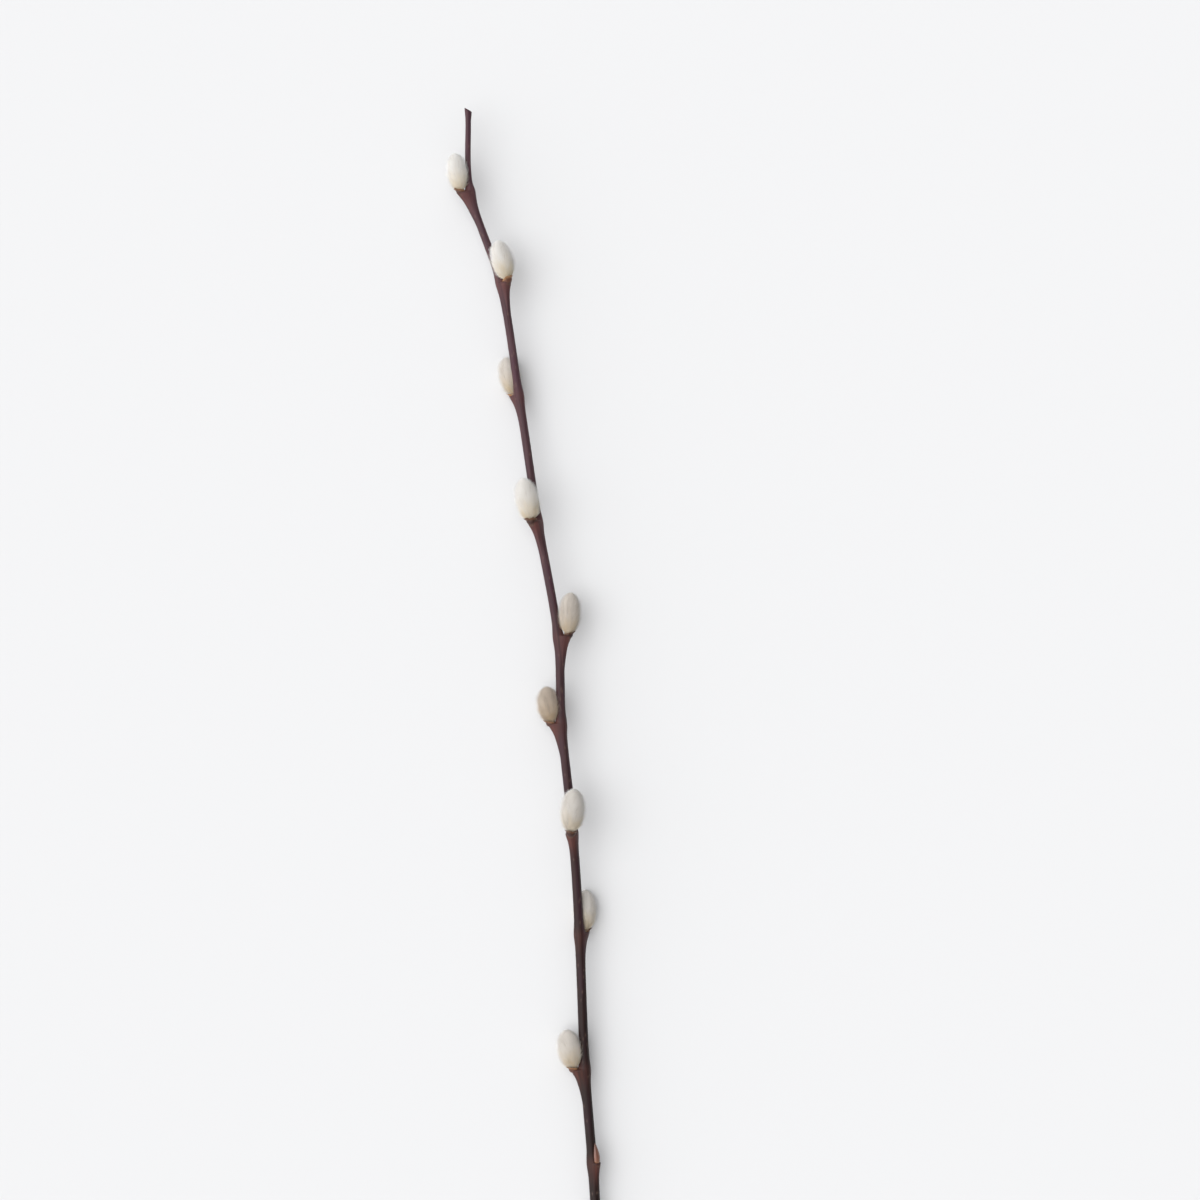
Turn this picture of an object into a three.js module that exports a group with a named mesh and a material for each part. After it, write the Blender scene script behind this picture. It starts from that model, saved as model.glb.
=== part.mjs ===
// A willow twig in early spring: one cut stem with furry catkins and closed buds, lying on a table.
// Millimetres, +Z up. The stem runs along Y with its tip towards +Y, and the twig rests on Z = 0.

import * as THREE from "three";

// The stem, from the cut butt to the cut tip
const BUTT = [35.3, -298.2, 2.1];
const TIP = [-28.7, 299.4, 11.8];
const BUTT_RADIUS = 2.3;
const SHOULDER_RADIUS = 1.65;
const TIP_RADIUS = 1.2;
const SHOULDER_REACH = 4;
const BUTT_CUT = { slope: 0.9, turn: 60 };
const TIP_CUT = { slope: 0.6, turn: 180 };
const STEM_SIDES = 16;
const INTERNODE_STEP = 13;

// The leaf cushion under each catkin or bud: a ledge that rises slowly from below and drops off above
const CUSHION_LENGTH = 15;
const CUSHION_POWER = 1.4;
const CUSHION_DROP = 0.25;
const CUSHION_SPREAD = 0.8;
const SWELLING = 0.45;
const SWELLING_REACH = 4;
const CUSHION_STATIONS = [-12, -8, -4.5, -1.5, 0, CUSHION_DROP, 3];

// A catkin: an egg of overlapping silky tufts that sits on its ledge and leans away from the stem
const CATKIN_CUSHION = 2.9;
const CATKIN_SEAT = { out: 2.5, up: 0.4 };
const CATKIN_WIDEST = 0.47;
const CATKIN_BASE_FULLNESS = 0.65;
const CATKIN_TIP_FULLNESS = 0.55;
const CATKIN_TIP_POWER = 2.2;
const TUFT_ROWS = 12;
const TUFTS_PER_ROW = 9;
const TUFT_HEIGHT = 0.8;
const TUFT_RISE = [0.1, 0.4];
const TUFT_FADE = 0.4;
const TUFT_TIP = 0.85;
const ROW_TWIST = 0.09;
const ROW_MARGIN = 0.6;

// The torn bud scale that is left as a shallow cup round a catkin's base
const SCALE_THICKNESS = 0.6;
const SCALE_GAP = 0.35;
const SCALE_FOOT = 0.15;
const SCALE_HEIGHT = 2.4;
const SCALE_LIP = 0.3;
const SCALE_SWEEP = 1.9;
const SCALE_COLUMNS = 11;
const SCALE_ROWS = 4;

// A closed bud, pressed flat against the stem
const BUD_CUSHION = 1.3;
const BUD_SEAT = { out: 1.15, up: 0.5 };
const BUD_SIZE = { length: 8.5, width: 3.2, depth: 1.9 };
const BUD_BELLY = 0.75;
const BUD_FULLNESS = 0.8;
const BUD_SIDES = 10;
const BUD_RINGS = 8;

// What grows on a ledge stays this far off the stem, and takes its direction from the internode above
const AXIL_CLEARANCE = 0.35;
const LEDGE_CLEARANCE = 0.2;
const AIM_HEIGHT = 12;

// The nodes from tip to butt: where the stem's axis is, which way the node faces, how far its catkin leans
// away from the stem and sways to one side, and the catkin's size; a node without a size has a closed bud.
// A turn is in degrees round the stem from +X towards +Z, about 3/8 of a circle from node to node.
const NODES = [
  { at: [-27.6, 264.3, 11.3], turn: 168, lean: 9, sway: 0, catkin: { length: 17.2, width: 8.8 } },
  { at: [-14.8, 224.9, 10.2], turn: 40, lean: 7, sway: 0, catkin: { length: 18.0, width: 9.6 } },
  { at: [-6.9, 177.0, 8.1], turn: 238, lean: 9, sway: 0, catkin: { length: 17.6, width: 9.4 } },
  { at: [1.3, 122.5, 10.4], turn: 126, lean: 6, sway: 0, catkin: { length: 19.4, width: 10.6 } },
  { at: [9.9, 72.9, 11.2], turn: 0, lean: 13, sway: 0, catkin: { length: 18.8, width: 9.8 } },
  { at: [11.5, 35.7, 10.9], turn: 192, lean: 8, sway: 0, catkin: { length: 16.4, width: 10.6 } },
  { at: [16.3, -11.2, 10.0], turn: 100, lean: 9, sway: 12, catkin: { length: 20.2, width: 10.8 } },
  { at: [19.1, -55.0, 8.4], turn: 300, lean: 9, sway: 0, catkin: { length: 18.4, width: 10.0 } },
  { at: [21.5, -113.5, 6.9], turn: 183, lean: 10, sway: 0, catkin: { length: 17.8, width: 11.2 } },
  { at: [24.7, -153.9, 5.9], turn: 45, lean: 3, sway: 0 },
  { at: [27.7, -196.9, 4.9], turn: 250, lean: 3, sway: 0 },
  { at: [31.2, -242.1, 3.7], turn: 135, lean: 3, sway: 0 },
];

const BARK = new THREE.MeshStandardMaterial({ color: 0x4f3737, roughness: 0.5, metalness: 0 });
const FUR = new THREE.MeshStandardMaterial({ color: 0xd6d0c2, roughness: 0.95, metalness: 0 });
const HUSK = new THREE.MeshStandardMaterial({ color: 0x6e4630, roughness: 0.45, metalness: 0 });
const BUD = new THREE.MeshStandardMaterial({ color: 0x5f3226, roughness: 0.4, metalness: 0 });

// The stem's axis as a smooth curve through the nodes, measured by its length from the butt
const routePoints = [BUTT, ...NODES.map((node) => node.at).reverse(), TIP].map(
  (point) => new THREE.Vector3(...point),
);
const route = new THREE.CatmullRomCurve3(routePoints, false, "centripetal");
const STEPS_PER_SPAN = 200;
route.arcLengthDivisions = STEPS_PER_SPAN * (routePoints.length - 1);
const stemLength = route.getLength();
NODES.forEach((node, i) => {
  node.station = route.getLengths()[STEPS_PER_SPAN * (NODES.length - i)];
  node.turn = THREE.MathUtils.degToRad(node.turn);
});

// The stem's frame at a station: its middle, and the directions right, up off the table, and along to the tip
function stemFrame(station) {
  const share = THREE.MathUtils.clamp(station / stemLength, 0, 1);
  const along = route.getTangentAt(share);
  const right = new THREE.Vector3(1, 0, 0).addScaledVector(along, -along.x).normalize();
  return { middle: route.getPointAt(share), along, right, up: right.clone().cross(along) };
}

function radialDirection(frame, turn) {
  return frame.right.clone().multiplyScalar(Math.cos(turn)).addScaledVector(frame.up, Math.sin(turn));
}

// The stem tapers slowly up to its top node, and is thinner above it
function plainRadius(station) {
  const top = NODES[0].station;
  const below = THREE.MathUtils.lerp(BUTT_RADIUS, SHOULDER_RADIUS, Math.min(station / top, 1));
  const thinning = THREE.MathUtils.smoothstep(station, top, top + SHOULDER_REACH);
  return THREE.MathUtils.lerp(below, TIP_RADIUS, thinning);
}

// The ledge's share of its full height: growing from below, falling off sharply above
function cushionProfile(distance) {
  if (distance > 0) return 1 - THREE.MathUtils.smoothstep(distance, 0, CUSHION_DROP);
  return Math.max(0, 1 + distance / CUSHION_LENGTH) ** CUSHION_POWER;
}

function stemRadius(station, turn) {
  let radius = plainRadius(station);
  for (const node of NODES) {
    const distance = station - node.station;
    const height = node.catkin ? CATKIN_CUSHION : BUD_CUSHION;
    const aside = THREE.MathUtils.euclideanModulo(turn - node.turn + Math.PI, 2 * Math.PI) - Math.PI;
    radius += SWELLING * Math.exp(-((distance / SWELLING_REACH) ** 2));
    radius += height * cushionProfile(distance) * Math.exp(-((aside / CUSHION_SPREAD) ** 2));
  }
  return radius;
}

// A closed solid from rings of equal count, each ring turning the same way, closed by a fan at both ends
function ringSolid(rings, firstPole, lastPole) {
  const sides = rings[0].length;
  const points = [firstPole, ...rings.flat(), lastPole];
  const at = (ring, side) => 1 + ring * sides + (side % sides);
  const faces = [];
  for (let side = 0; side < sides; side++) {
    faces.push(0, at(0, side), at(0, side + 1));
    faces.push(points.length - 1, at(rings.length - 1, side + 1), at(rings.length - 1, side));
    for (let ring = 0; ring + 1 < rings.length; ring++) {
      faces.push(at(ring, side), at(ring + 1, side), at(ring, side + 1));
      faces.push(at(ring, side + 1), at(ring + 1, side), at(ring + 1, side + 1));
    }
  }
  return new THREE.BufferGeometry().setFromPoints(points).setIndex(faces);
}

// Stations along the stem: a few steps down each internode, and closer ones over each leaf cushion
function stemStations() {
  const stations = [0, stemLength];
  const bounds = [stemLength, ...NODES.map((node) => node.station), 0];
  NODES.forEach((node) => CUSHION_STATIONS.forEach((offset) => stations.push(node.station + offset)));
  for (let i = 0; i + 1 < bounds.length; i++) {
    const high = bounds[i] - CUSHION_LENGTH;
    const low = bounds[i + 1] + 2 * CUSHION_STATIONS.at(-1);
    const steps = Math.max(1, Math.round((high - low) / INTERNODE_STEP));
    for (let step = 0; step <= steps; step++) stations.push(low + ((high - low) * step) / steps);
  }
  return stations.sort((a, b) => a - b);
}

// One ring of the stem; a cut end slopes by so much along the stem for each millimetre across it
function stemRing(station, cut) {
  const frame = stemFrame(station);
  const ring = [];
  for (let side = 0; side < STEM_SIDES; side++) {
    const turn = (2 * Math.PI * side) / STEM_SIDES;
    const reach = stemRadius(station, turn);
    const point = frame.middle.clone().addScaledVector(radialDirection(frame, turn), reach);
    if (cut) {
      const across = reach * Math.cos(turn - THREE.MathUtils.degToRad(cut.turn));
      point.addScaledVector(frame.along, cut.slope * across);
    }
    point.z = Math.max(point.z, 0);
    ring.push(point);
  }
  return ring;
}

function stemMesh() {
  const stations = stemStations();
  const rings = stations.map((station, i) => {
    if (i === 0) return stemRing(station, BUTT_CUT);
    if (i === stations.length - 1) return stemRing(station, TIP_CUT);
    return stemRing(station);
  });
  const geometry = ringSolid(rings, stemFrame(0).middle, stemFrame(stemLength).middle);
  return named(new THREE.Mesh(geometry, BARK), "stem");
}

function named(mesh, name) {
  mesh.name = name;
  return mesh;
}

// A catkin's radius at a share of its length, from the base to the tip: an egg with a tapered base
function catkinRadius(share, width) {
  if (share < CATKIN_WIDEST) {
    const below = (CATKIN_WIDEST - share) / CATKIN_WIDEST;
    return (width / 2) * (1 - below ** 2) ** CATKIN_BASE_FULLNESS;
  }
  const above = (share - CATKIN_WIDEST) / (1 - CATKIN_WIDEST);
  return (width / 2) * (1 - above ** CATKIN_TIP_POWER) ** CATKIN_TIP_FULLNESS;
}

// Tufts stand out fully over the body, and lie down at the base, where the bud scale holds them
function tuftHeight(share) {
  return TUFT_HEIGHT * THREE.MathUtils.smoothstep(share, ...TUFT_RISE) * (1 - TUFT_FADE * share);
}

// A catkin about its own axis, +Z from base to tip. Its skin is a lattice of diamonds, in rows that are
// staggered by half a diamond, and each diamond is drawn up to a point that leans towards the catkin's tip.
function catkinGeometry({ length, width }) {
  const bodyWidth = width - 2 * TUFT_HEIGHT;
  const skin = (share, angle, proud) => {
    const radius = catkinRadius(share, bodyWidth) + proud;
    return new THREE.Vector3(radius * Math.cos(angle), radius * Math.sin(angle), share * length);
  };
  const pitch = (2 * Math.PI) / TUFTS_PER_ROW;
  const rowShare = (row) => (row + ROW_MARGIN) / (TUFT_ROWS + 2 * ROW_MARGIN);
  const rowAngle = (row, column) => (column + (row % 2) / 2) * pitch + row * ROW_TWIST;

  const points = [new THREE.Vector3(0, 0, 0), new THREE.Vector3(0, 0, length)];
  const [base, tip] = [0, 1];
  for (let row = 0; row <= TUFT_ROWS; row++) {
    for (let column = 0; column < TUFTS_PER_ROW; column++) {
      points.push(skin(rowShare(row), rowAngle(row, column), 0));
    }
  }
  const at = (row, column) =>
    2 + row * TUFTS_PER_ROW + THREE.MathUtils.euclideanModulo(column, TUFTS_PER_ROW);

  const faces = [];
  for (let row = 0; row + 2 <= TUFT_ROWS; row++) {
    for (let column = 0; column < TUFTS_PER_ROW; column++) {
      const share = THREE.MathUtils.lerp(rowShare(row), rowShare(row + 2), TUFT_TIP);
      const angle = rowAngle(row, column) + 2 * ROW_TWIST * TUFT_TIP;
      const point = points.push(skin(share, angle, tuftHeight(share))) - 1;
      const left = at(row + 1, column - 1 + (row % 2));
      const right = at(row + 1, column + (row % 2));
      const corners = [at(row, column), right, at(row + 2, column), left];
      corners.forEach((corner, i) => faces.push(corner, corners[(i + 1) % 4], point));
    }
  }
  for (let column = 0; column < TUFTS_PER_ROW; column++) {
    const last = TUFT_ROWS % 2;
    faces.push(base, at(0, column + 1), at(0, column));
    faces.push(at(0, column), at(0, column + 1), at(1, column));
    faces.push(tip, at(TUFT_ROWS, column), at(TUFT_ROWS, column + 1));
    faces.push(at(TUFT_ROWS, column + 1), at(TUFT_ROWS, column), at(TUFT_ROWS - 1, column + last));
  }
  return new THREE.BufferGeometry().setFromPoints(points).setIndex(faces);
}

// A sheet with thickness: two grids of points, skin to skin, closed round their borders
function sheetSolid(inner, outer) {
  const columns = inner.length;
  const rows = inner[0].length;
  const points = [...inner.flat(), ...outer.flat()];
  const at = (side, column, row) => side * columns * rows + column * rows + row;
  const faces = [];
  const quad = (a, b, c, d) => faces.push(a, b, c, a, c, d);
  for (let column = 0; column + 1 < columns; column++) {
    for (let row = 0; row + 1 < rows; row++) {
      const corners = [[column, row], [column + 1, row], [column + 1, row + 1], [column, row + 1]];
      quad(...corners.map(([c, r]) => at(1, c, r)));
      quad(...corners.reverse().map(([c, r]) => at(0, c, r)));
    }
    const next = column + 1;
    const top = rows - 1;
    quad(at(0, column, 0), at(0, next, 0), at(1, next, 0), at(1, column, 0));
    quad(at(1, column, top), at(1, next, top), at(0, next, top), at(0, column, top));
  }
  for (let row = 0; row + 1 < rows; row++) {
    const end = columns - 1;
    quad(at(0, 0, row + 1), at(0, 0, row), at(1, 0, row), at(1, 0, row + 1));
    quad(at(0, end, row), at(0, end, row + 1), at(1, end, row + 1), at(1, end, row));
  }
  return new THREE.BufferGeometry().setFromPoints(points).setIndex(faces);
}

// The bud scale's cup, in its catkin's own frame: highest on the side away from the stem
function scaleGeometry({ length, width }) {
  const skin = (angle, height, proud) => {
    const radius = catkinRadius(height / length, width - 2 * TUFT_HEIGHT) + SCALE_GAP + proud;
    return new THREE.Vector3(radius * Math.cos(angle), radius * Math.sin(angle), height);
  };
  const grid = (proud) =>
    Array.from({ length: SCALE_COLUMNS }, (_, column) => {
      const angle = SCALE_SWEEP * ((2 * column) / (SCALE_COLUMNS - 1) - 1);
      const crown = Math.cos((angle / SCALE_SWEEP) * (Math.PI / 2));
      const rim = SCALE_FOOT + SCALE_HEIGHT * THREE.MathUtils.lerp(SCALE_LIP, 1, crown);
      return Array.from({ length: SCALE_ROWS }, (_, row) =>
        skin(angle, THREE.MathUtils.lerp(SCALE_FOOT, rim, row / (SCALE_ROWS - 1)), proud),
      );
    });
  return sheetSolid(grid(0), grid(SCALE_THICKNESS));
}

// A closed bud about its own axis: a flattened drop with a pointed tip, its back towards the stem at -X
function budGeometry() {
  const { length, width, depth } = BUD_SIZE;
  const rings = [];
  for (let ring = 1; ring < BUD_RINGS; ring++) {
    const share = ring / BUD_RINGS;
    const girth = Math.sin(Math.PI * share ** BUD_BELLY) ** BUD_FULLNESS;
    rings.push(
      Array.from({ length: BUD_SIDES }, (_, side) => {
        const angle = (-2 * Math.PI * side) / BUD_SIDES;
        return new THREE.Vector3(
          (depth / 2) * girth * Math.cos(angle),
          (width / 2) * girth * Math.sin(angle),
          length * share,
        );
      }),
    );
  }
  return ringSolid(rings, new THREE.Vector3(0, 0, 0), new THREE.Vector3(0, 0, length));
}

// Soft growth gives way: points that would touch the ledge, the stem or the table are pressed clear of them
function pressClear(mesh, node) {
  mesh.updateWorldMatrix(true, false);
  const position = mesh.geometry.getAttribute("position");
  const point = new THREE.Vector3();
  for (let i = 0; i < position.count; i++) {
    mesh.localToWorld(point.fromBufferAttribute(position, i));
    let station = node.station;
    for (let pass = 0; pass < 3; pass++) {
      const frame = stemFrame(station);
      station += point.clone().sub(frame.middle).dot(frame.along);
    }
    const lift = node.station + CUSHION_DROP + LEDGE_CLEARANCE - station;
    if (lift > 0) point.addScaledVector(stemFrame(station).along, lift);
    station += Math.max(lift, 0);
    const frame = stemFrame(station);
    const out = radialDirection(frame, node.turn);
    const swelling = SWELLING * Math.exp(-(((station - node.station) / SWELLING_REACH) ** 2));
    const press = plainRadius(station) + swelling + AXIL_CLEARANCE - point.clone().sub(frame.middle).dot(out);
    if (press > 0) point.addScaledVector(out, press);
    point.z = Math.max(point.z, 0);
    mesh.worldToLocal(point);
    position.setXYZ(i, point.x, point.y, point.z);
  }
}

// A seat's frame: X away from the stem, Z along the internode above it, on the ledge of the leaf cushion
function seatGroup(node, seat) {
  const frame = stemFrame(node.station);
  const out = radialDirection(frame, node.turn);
  const group = new THREE.Group();
  group.position
    .copy(frame.middle)
    .addScaledVector(out, plainRadius(node.station) + seat.out)
    .addScaledVector(frame.along, seat.up);
  const above = stemFrame(node.station + AIM_HEIGHT);
  const away = radialDirection(above, node.turn);
  const side = above.along.clone().cross(away);
  group.quaternion.setFromRotationMatrix(new THREE.Matrix4().makeBasis(away, side, above.along));
  group.rotateY(THREE.MathUtils.degToRad(node.lean));
  group.rotateX(THREE.MathUtils.degToRad(-node.sway));
  return group;
}

const numbered = (name, index) => `${name}_${String(index + 1).padStart(2, "0")}`;

const twig = new THREE.Group();
twig.name = "willow_twig";
twig.add(stemMesh());

NODES.filter((node) => node.catkin).forEach((node, i) => {
  const seat = seatGroup(node, CATKIN_SEAT);
  const catkin = named(new THREE.Mesh(catkinGeometry(node.catkin), FUR), numbered("catkin", i));
  const scale = named(new THREE.Mesh(scaleGeometry(node.catkin), HUSK), numbered("bud_scale", i));
  twig.add(seat.add(catkin, scale));
  pressClear(catkin, node);
});

NODES.filter((node) => !node.catkin).forEach((node, i) => {
  const seat = seatGroup(node, BUD_SEAT);
  const bud = named(new THREE.Mesh(budGeometry(), BUD), numbered("bud", i));
  twig.add(seat.add(bud));
  pressClear(bud, node);
});

export default twig;
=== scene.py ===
"""A cut willow twig lying on a pale table: bark, silky catkins, torn bud scales and closed buds."""

import math

import bpy
import numpy as np
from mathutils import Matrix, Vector


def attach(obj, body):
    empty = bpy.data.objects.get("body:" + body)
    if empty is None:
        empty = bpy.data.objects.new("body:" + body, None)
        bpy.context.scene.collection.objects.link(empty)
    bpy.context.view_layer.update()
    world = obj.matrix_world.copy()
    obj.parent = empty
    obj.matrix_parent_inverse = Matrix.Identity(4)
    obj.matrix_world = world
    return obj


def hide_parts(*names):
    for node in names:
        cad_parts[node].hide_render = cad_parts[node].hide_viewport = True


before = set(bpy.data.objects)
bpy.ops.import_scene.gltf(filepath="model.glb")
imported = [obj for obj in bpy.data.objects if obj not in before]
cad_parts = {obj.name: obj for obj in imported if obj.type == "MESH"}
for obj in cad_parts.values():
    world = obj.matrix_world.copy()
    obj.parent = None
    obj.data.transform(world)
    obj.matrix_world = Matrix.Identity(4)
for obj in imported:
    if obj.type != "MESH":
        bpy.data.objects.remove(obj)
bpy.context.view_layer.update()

MM = 0.001
SEED = 7
TINY = 1e-6

# The stem, in millimetres and degrees, from the cut butt to the cut tip
BUTT = (35.3, -298.2, 2.1)
TIP = (-28.7, 299.4, 11.8)
BUTT_RADIUS = 2.3
SHOULDER_RADIUS = 1.65
TIP_RADIUS = 1.2
SHOULDER_REACH = 4.0
BUTT_CUT = dict(slope=0.9, turn=60)
TIP_CUT = dict(slope=0.6, turn=180)
CUT_REACH = 6.0
STEM_SIDES = 44
STEPS_PER_SPAN = 400
PLACE_STEPS = 3

# The leaf cushion under each catkin or bud
CUSHION_LENGTH = 15.0
CUSHION_POWER = 1.4
CUSHION_DROP = 0.25
CUSHION_SPREAD = 0.8
CUSHION_LIP = (0.3, 0.9)
LIP_SHARE = 0.25
LIP_REACH = 2.2
AXIL_FILL = 0.34
AXIL_REACH = 1.4
SWELLING = 0.45
SWELLING_REACH = 4.0
CATKIN_CUSHION = 2.9
BUD_CUSHION = 1.3
SIDE_CROWDING = 0.6

# What grows on a ledge
AIM_HEIGHT = 12.0
CATKIN_SEAT = dict(out=2.5, up=0.4)
BUD_SEAT = dict(out=1.15, up=0.5)
AXIL_CLEARANCE = 0.35
LEDGE_CLEARANCE = 0.2
FLOOR_CLEARANCE = 0.06
STEM_CLEARANCE = 0.06
CATKIN_WIDEST = 0.47
CATKIN_BASE_FULLNESS = 0.65
CATKIN_TIP_FULLNESS = 0.55
CATKIN_TIP_POWER = 2.2
TUFT_HEIGHT = 0.8

# The nodes from tip to butt: axis point, turn round the stem, lean, sway, and the catkin's length and width
NODES = [
    dict(at=(-27.6, 264.3, 11.3), turn=168, lean=9, catkin=(17.2, 8.8)),
    dict(at=(-14.8, 224.9, 10.2), turn=40, lean=7, catkin=(18.0, 9.6)),
    dict(at=(-6.9, 177.0, 8.1), turn=238, lean=9, catkin=(17.6, 9.4)),
    dict(at=(1.3, 122.5, 10.4), turn=126, lean=6, catkin=(19.4, 10.6)),
    dict(at=(9.9, 72.9, 11.2), turn=0, lean=13, catkin=(18.8, 9.8)),
    dict(at=(11.5, 35.7, 10.9), turn=192, lean=8, catkin=(16.4, 10.6)),
    dict(at=(16.3, -11.2, 10.0), turn=100, lean=9, sway=12, catkin=(20.2, 10.8)),
    dict(at=(19.1, -55.0, 8.4), turn=300, lean=9, catkin=(18.4, 10.0)),
    dict(at=(21.5, -113.5, 6.9), turn=183, lean=10, catkin=(17.8, 11.2)),
    dict(at=(24.7, -153.9, 5.9), turn=45, lean=3, catkin=None),
    dict(at=(27.7, -196.9, 4.9), turn=250, lean=3, catkin=None),
    dict(at=(31.2, -242.1, 3.7), turn=135, lean=3, catkin=None),
]

# How much painted shade darkens and greys each catkin, and how dark its bud scale has weathered, from the
# tip down
CATKIN_PAINTED_SHADES = (0.0, 0.07, 0.45, 0.12, 0.55, 0.92, 0.27, 0.3, 0.4)
SCALE_WEATHERS = (0.6, 0.1, 0.0, 0.85, 1.0, 0.55, 0.85, 0.7, 0.3)

# Bark: rings along the stem, waves, breathing pores, leaf scars and cut ends
PLAIN_STEP = 0.6
CUSHION_STEP = 0.5
LEDGE_STEP = 0.2
LEDGE_ZONE = (-3.2, 1.2)
WAVE_HEIGHT = 0.03
WAVE_LENGTH = 9.0
WAVE_SWIRL = 1.7
RIB_HEIGHT = 0.015
RIBS = 7
RIB_LENGTH = 13.0
TIP_FLARE = 0.35
TIP_FLARE_REACH = 5.0
PORES = 300
PORE_ENDS = (4.0, 3.0)
PORE_HALF_LENGTH = (0.4, 0.75)
PORE_HALF_WIDTH = (0.18, 0.3)
PORE_FADE = 3.0
PORE_HEIGHT = 0.07
NODE_PORE_LOSS = 0.5
SCAR_HALF_WIDTH = 1.7
SCAR_HALF_HEIGHT = 0.45
SCAR_CENTRE = -1.25
SCAR_CURL = 0.4
SCAR_DEPTH = 0.09
SCAR_EDGE = (0.7, 1.15)
BUNDLE_OFFSETS = (-1.0, 0.0, 1.0)
BUNDLE_EDGE = (0.08, 0.2)
# Painted shade: a dark line along each ledge, its place above the ledge and its reach
LEDGE_SHADE_LINE = 0.1
LEDGE_SHADE_REACH = 0.4
TINT_REACH = (3.0, 7.0)
TINT_ALL_ROUND = 0.35
CUT_SHARES = (0.93, 0.86, 0.72, 0.55, 0.38, 0.26, 0.14)
CUT_ROUGHNESS = 0.03
CUT_SMOOTH_RIM = 0.9
PITH_DEPTH = 0.12
PITH_SHARE = 0.2
FRESH, DRIED = 0.0, 1.0

# Fur: scales in a spiral over a soft core, each with a tuft of hairs that sweep towards the catkin's tip
GOLDEN_ANGLE = math.radians(137.508)
FLORETS = 150
FLORET_SPAN = (0.02, 0.95)
FLORET_SAMPLES = 400
FLORET_CROWDING = 0.12
CORE_SHARE = 0.8
CORE_LENGTH = 0.92
CORE_BASE = 0.04
CORE_RINGS = 22
CORE_SIDES = 24
CORE_TINT = (0.12, 0.06)
FUR_MARGIN = 2.2
HAIRS_PER_FLORET = 130
HAIR_FACES = ((0, 1, 3), (1, 2, 3), (2, 0, 3), (2, 1, 0))
HAIR_RADIUS = 0.042
RADIUS_VARIETY = (0.8, 1.2)
HAIR_ROUNDNESS = 0.4
HAIR_REACH = (3.0, 4.8)
REACH_VARIETY = (0.7, 1.1)
HAIR_PROUD = (0.7, 2.1)
HAIR_TUCK = 0.12
ROOT_SPAN = (0.045, 0.95)
ROOT_SPREAD = 0.5
ROOT_RADIUS = 0.8
TIP_SPREAD = 0.28
STRAY_RADIUS = 1.0
TIP_LEAST_RADIUS = 0.03
TIP_LAST_SHARE = 0.995
TIP_DIP = 0.04
TIP_CLOSING = (0.93, 1.0)
PROUD_FADE = (0.85, 1.15)
TUFT_TURN = 0.07
TUFT_PROUD = 0.2
TUFT_GATHER = 0.3
WISP_SHARE = 0.15
WISP_PROUD = (0.1, 0.5)
BLOCKED_DEPTH = 0.5
BLOCKED_LENGTH = 0.45
SKIN_SPAN = (0.04, 0.96)
SKIN_STEP = 0.01

# Tones of the fur: white ones below WHITE_TONES and grey ones above, in soft patches
WHITE_TONES = 0.75
TUFT_TONE = 0.05
HAIR_TONE = 0.006
PATCH_WAVES = 6
PATCH_RATES = (1.3, 1.3, 0.35)
PATCH_EDGE = (-0.1, 0.6)
# The share of grey hairs in the patches, from a catkin without painted shade to one with the most
GREY_SHARES = (0.32, 0.9)

# Where hairs and scales lie on the fur's own map: start and span each way
FUR_MAP = ((0.02, 0.96), (0.24, 0.74))
SCALE_MAP = ((0.03, 0.94), (0.02, 0.16))
HAIR_MAP_CORNERS = ((-0.006, 0.0), (0.0, -0.012), (0.006, 0.0), (0.0, 0.0))
SCALE_MAP_HALF = 0.015

# The scale of one floret: its corners' share of the core's radius, way out, side, height and place along
LENS_SHARES = (0.08, 0.74)
LENS_HALF_WIDTH = 0.55
LENS_RADIUS = 0.9
LENS_FOOT = (0.9, 0.0, 0, -0.3, 0.0)
LENS_EDGES = ((1.0, 0.05, -1, 0.6, 0.5), (1.0, 0.05, 1, 0.6, 0.5))
LENS_FACETS = ((1.0, 0.22, 0, 0.6, 0.5), (1.0, -0.1, 0, 0.6, 0.5))
LENS_POINT = (1.0, 0.2, 0, 1.6, 1.0)
LENS_CORNERS = np.array([LENS_FOOT, *LENS_EDGES, *LENS_FACETS, LENS_POINT])
LENS_FACES = ((0, 3, 1), (0, 2, 3), (0, 1, 4), (0, 4, 2), (5, 1, 3), (5, 3, 2), (5, 4, 1), (5, 2, 4))

# The torn bud scale, and the catkin's short stalk inside it
HUSK_SEED = 217
HUSK_COLUMNS = 56
HUSK_ROWS = 14
HUSK_SPAN = 2.2
HUSK_LOW = 0.5
HUSK_RISE = 1.4
HUSK_WAVES = ((0.16, 3.1), (0.12, 7.3), (0.08, 15.7))
HUSK_FOOT = 0.9
HUSK_SEAT = 0.9
HUSK_GAP = 0.55
HUSK_FLARE = 0.25
HUSK_DRAW_IN = 0.5
HUSK_THICKNESS = 0.26
HUSK_THINNING = 0.55
STALK_SIDES = 16
STALK_HEIGHTS = (-1.2, -0.4, 0.4, 1.2)
STALK_RADII = (1.2, 1.5, 1.7, 1.6)
STALK_TINT = 0.9
STALK_TILT = 0.05
STALK_LOTS = 7.0

# The closed bud
BUD_RINGS = 60
BUD_SIDES = 40
BUD_SIZE = (8.5, 3.1, 2.3)
BUD_SHIFT = 0.25
BUD_BEND = 0.9
BUD_FOOT = 0.9
BUD_FOOT_FADE = (0.7, 1.5)
BUD_TIP_POWER = 2.4
BUD_FULLNESS = 0.85
BUD_BASE_SHARE = 0.66
BUD_BASE_REACH = 0.35
BUD_KEEL = dict(height=0.09, reach=0.05)
BUD_COLLAR = dict(height=0.1, at=0.16, reach=0.03)

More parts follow.
